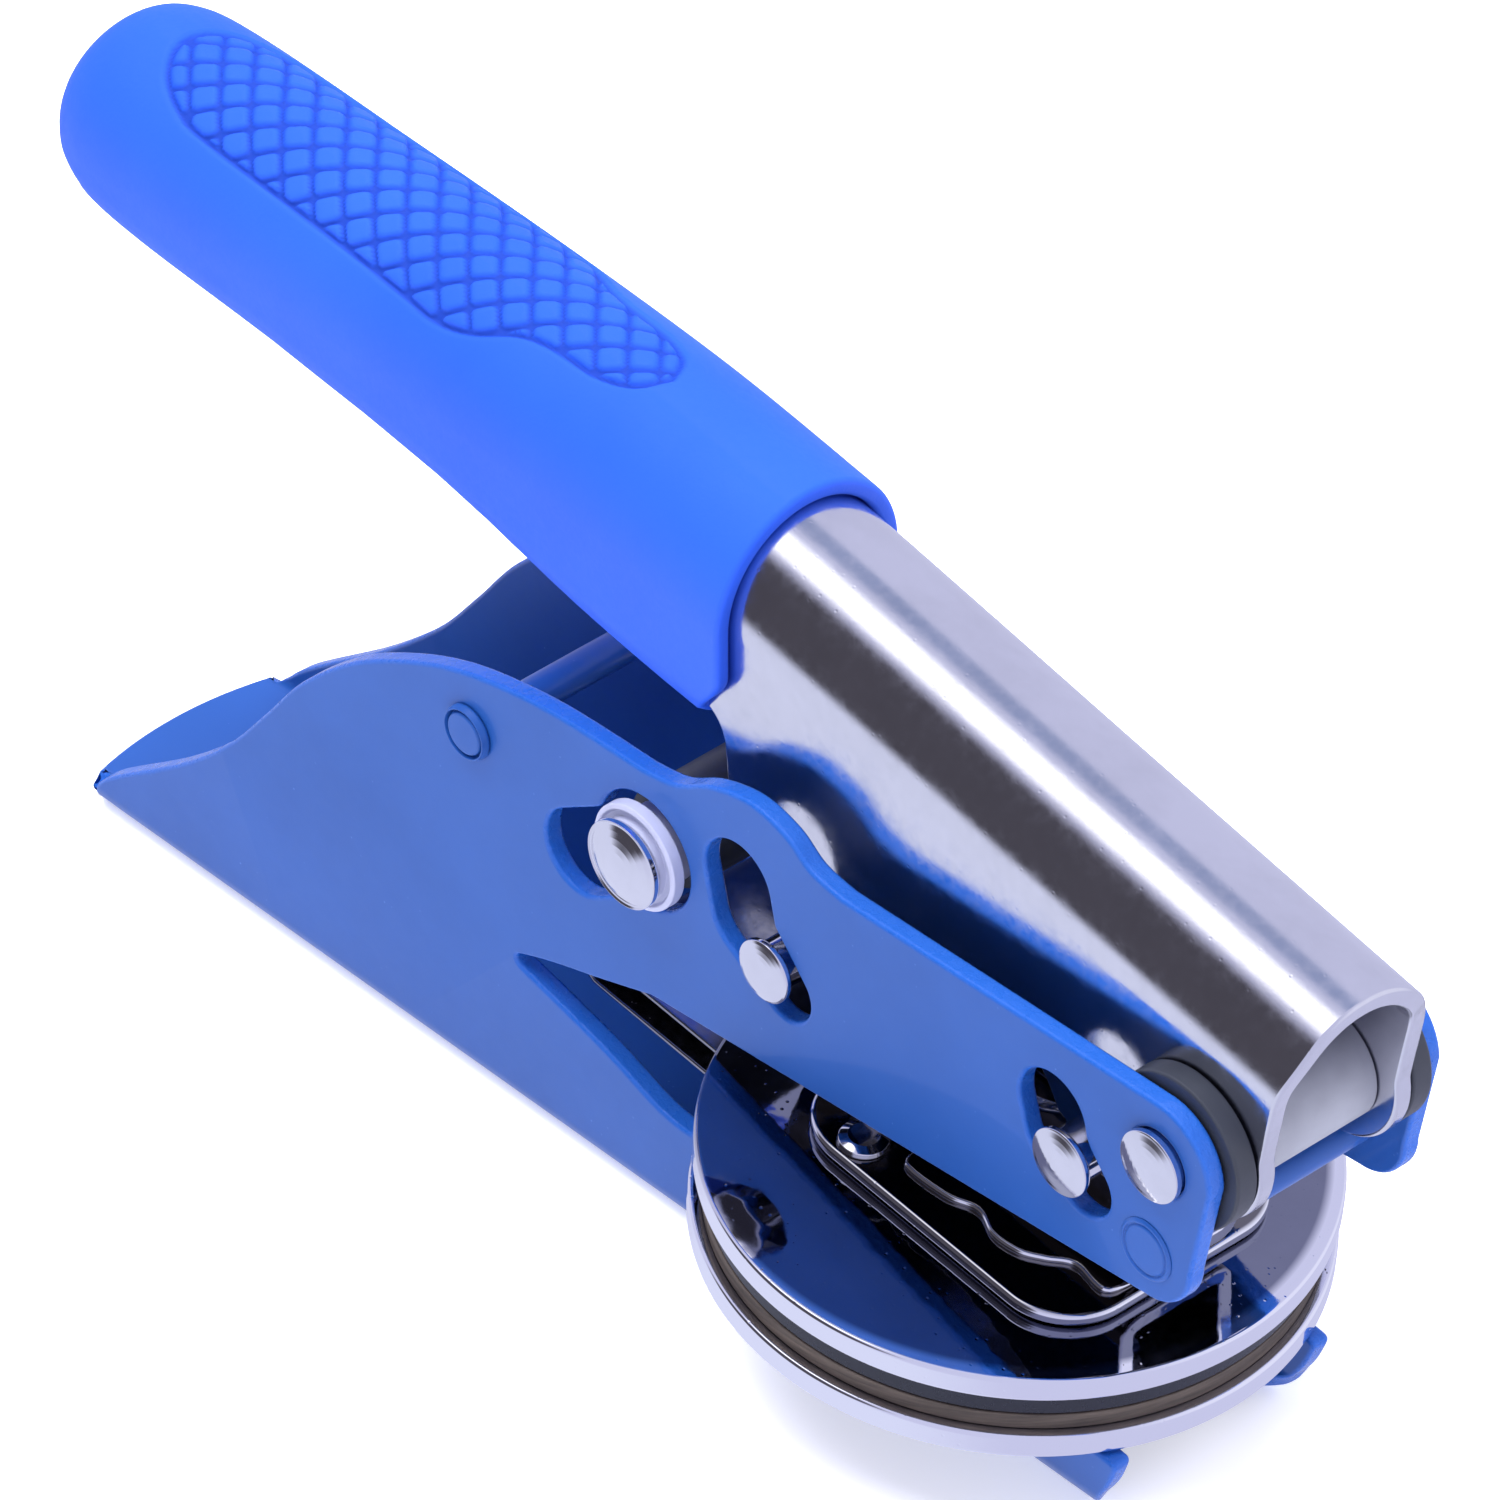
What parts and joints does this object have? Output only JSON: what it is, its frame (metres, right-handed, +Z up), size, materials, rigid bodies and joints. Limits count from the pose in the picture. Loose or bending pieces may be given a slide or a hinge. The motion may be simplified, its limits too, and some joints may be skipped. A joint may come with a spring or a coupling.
{
  "type": "embossing seal press",
  "caption": "Hand-held lever press with a painted steel channel frame, chrome lever, soft grip and a round two-disc embossing die set.",
  "frame": {"origin": "on the flat underside of the base channel, on the axis of the round dies", "axes": "+X towards the die end, +Y towards the far side plate, +Z up from the surface it rests on"},
  "size_m": [0.1518, 0.054, 0.077],
  "materials": {
    "paint": "gloss",
    "satin_chrome": "satin",
    "mirror_chrome": "mirror",
    "polished_steel": "polished",
    "spring_steel": "satin",
    "dark_steel": "satin",
    "grey_nylon": "satin",
    "rubber_grip": "matt",
    "black_resin": "satin",
    "fibre_board": "matt"
  },
  "bodies": {
    "frame": {"frame_channel": "paint", "rear_cross_bar": "paint", "front_cross_bar": "paint", "pivot_pin": "polished_steel", "pivot_sleeve": "grey_nylon", "near_pivot_washer": "dark_steel", "far_pivot_washer": "dark_steel", "lower_disc": "mirror_chrome", "lower_matrix": "fibre_board", "insert_spring": "spring_steel", "lower_strap_rivet_near": "spring_steel", "lower_strap_rivet_far": "spring_steel"},
    "lever": {"lever_channel": "satin_chrome", "grip": "rubber_grip"},
    "presser": {"presser_bracket": "mirror_chrome", "press_pin": "polished_steel", "guide_pin": "polished_steel", "press_roller": "spring_steel", "guide_spacer": "spring_steel", "upper_disc": "mirror_chrome", "upper_die": "black_resin", "upper_strap_rivet_near": "spring_steel", "upper_strap_rivet_far": "spring_steel", "presser_rivet_near": "spring_steel", "presser_rivet_far": "spring_steel"},
    "lock": {"lock_pin": "polished_steel", "near_lock_collar": "grey_nylon", "far_lock_collar": "grey_nylon", "lock_spacer": "dark_steel"}
  },
  "joints": [
    {"name": "lever_hinge", "type": "hinge", "parent": "frame", "child": "lever", "pos_m": [0.0302, 0, 0.043], "axis": [0, 1, 0], "range_deg": [0, 8]},
    {"name": "press_slide", "type": "slide", "parent": "frame", "child": "presser", "axis": [-0.497, 0, 0.8677], "range_m": [0, 0.00168], "deforming": ["insert_spring"]},
    {"name": "lock_slide", "type": "slide", "parent": "frame", "child": "lock", "axis": [-0.8486, 0, -0.5291], "range_m": [0, 0.0098]}
  ],
  "couplings": [
    {"joint": "press_slide", "follows": "lever_hinge", "m_per_rad": 0.01187}
  ]
}
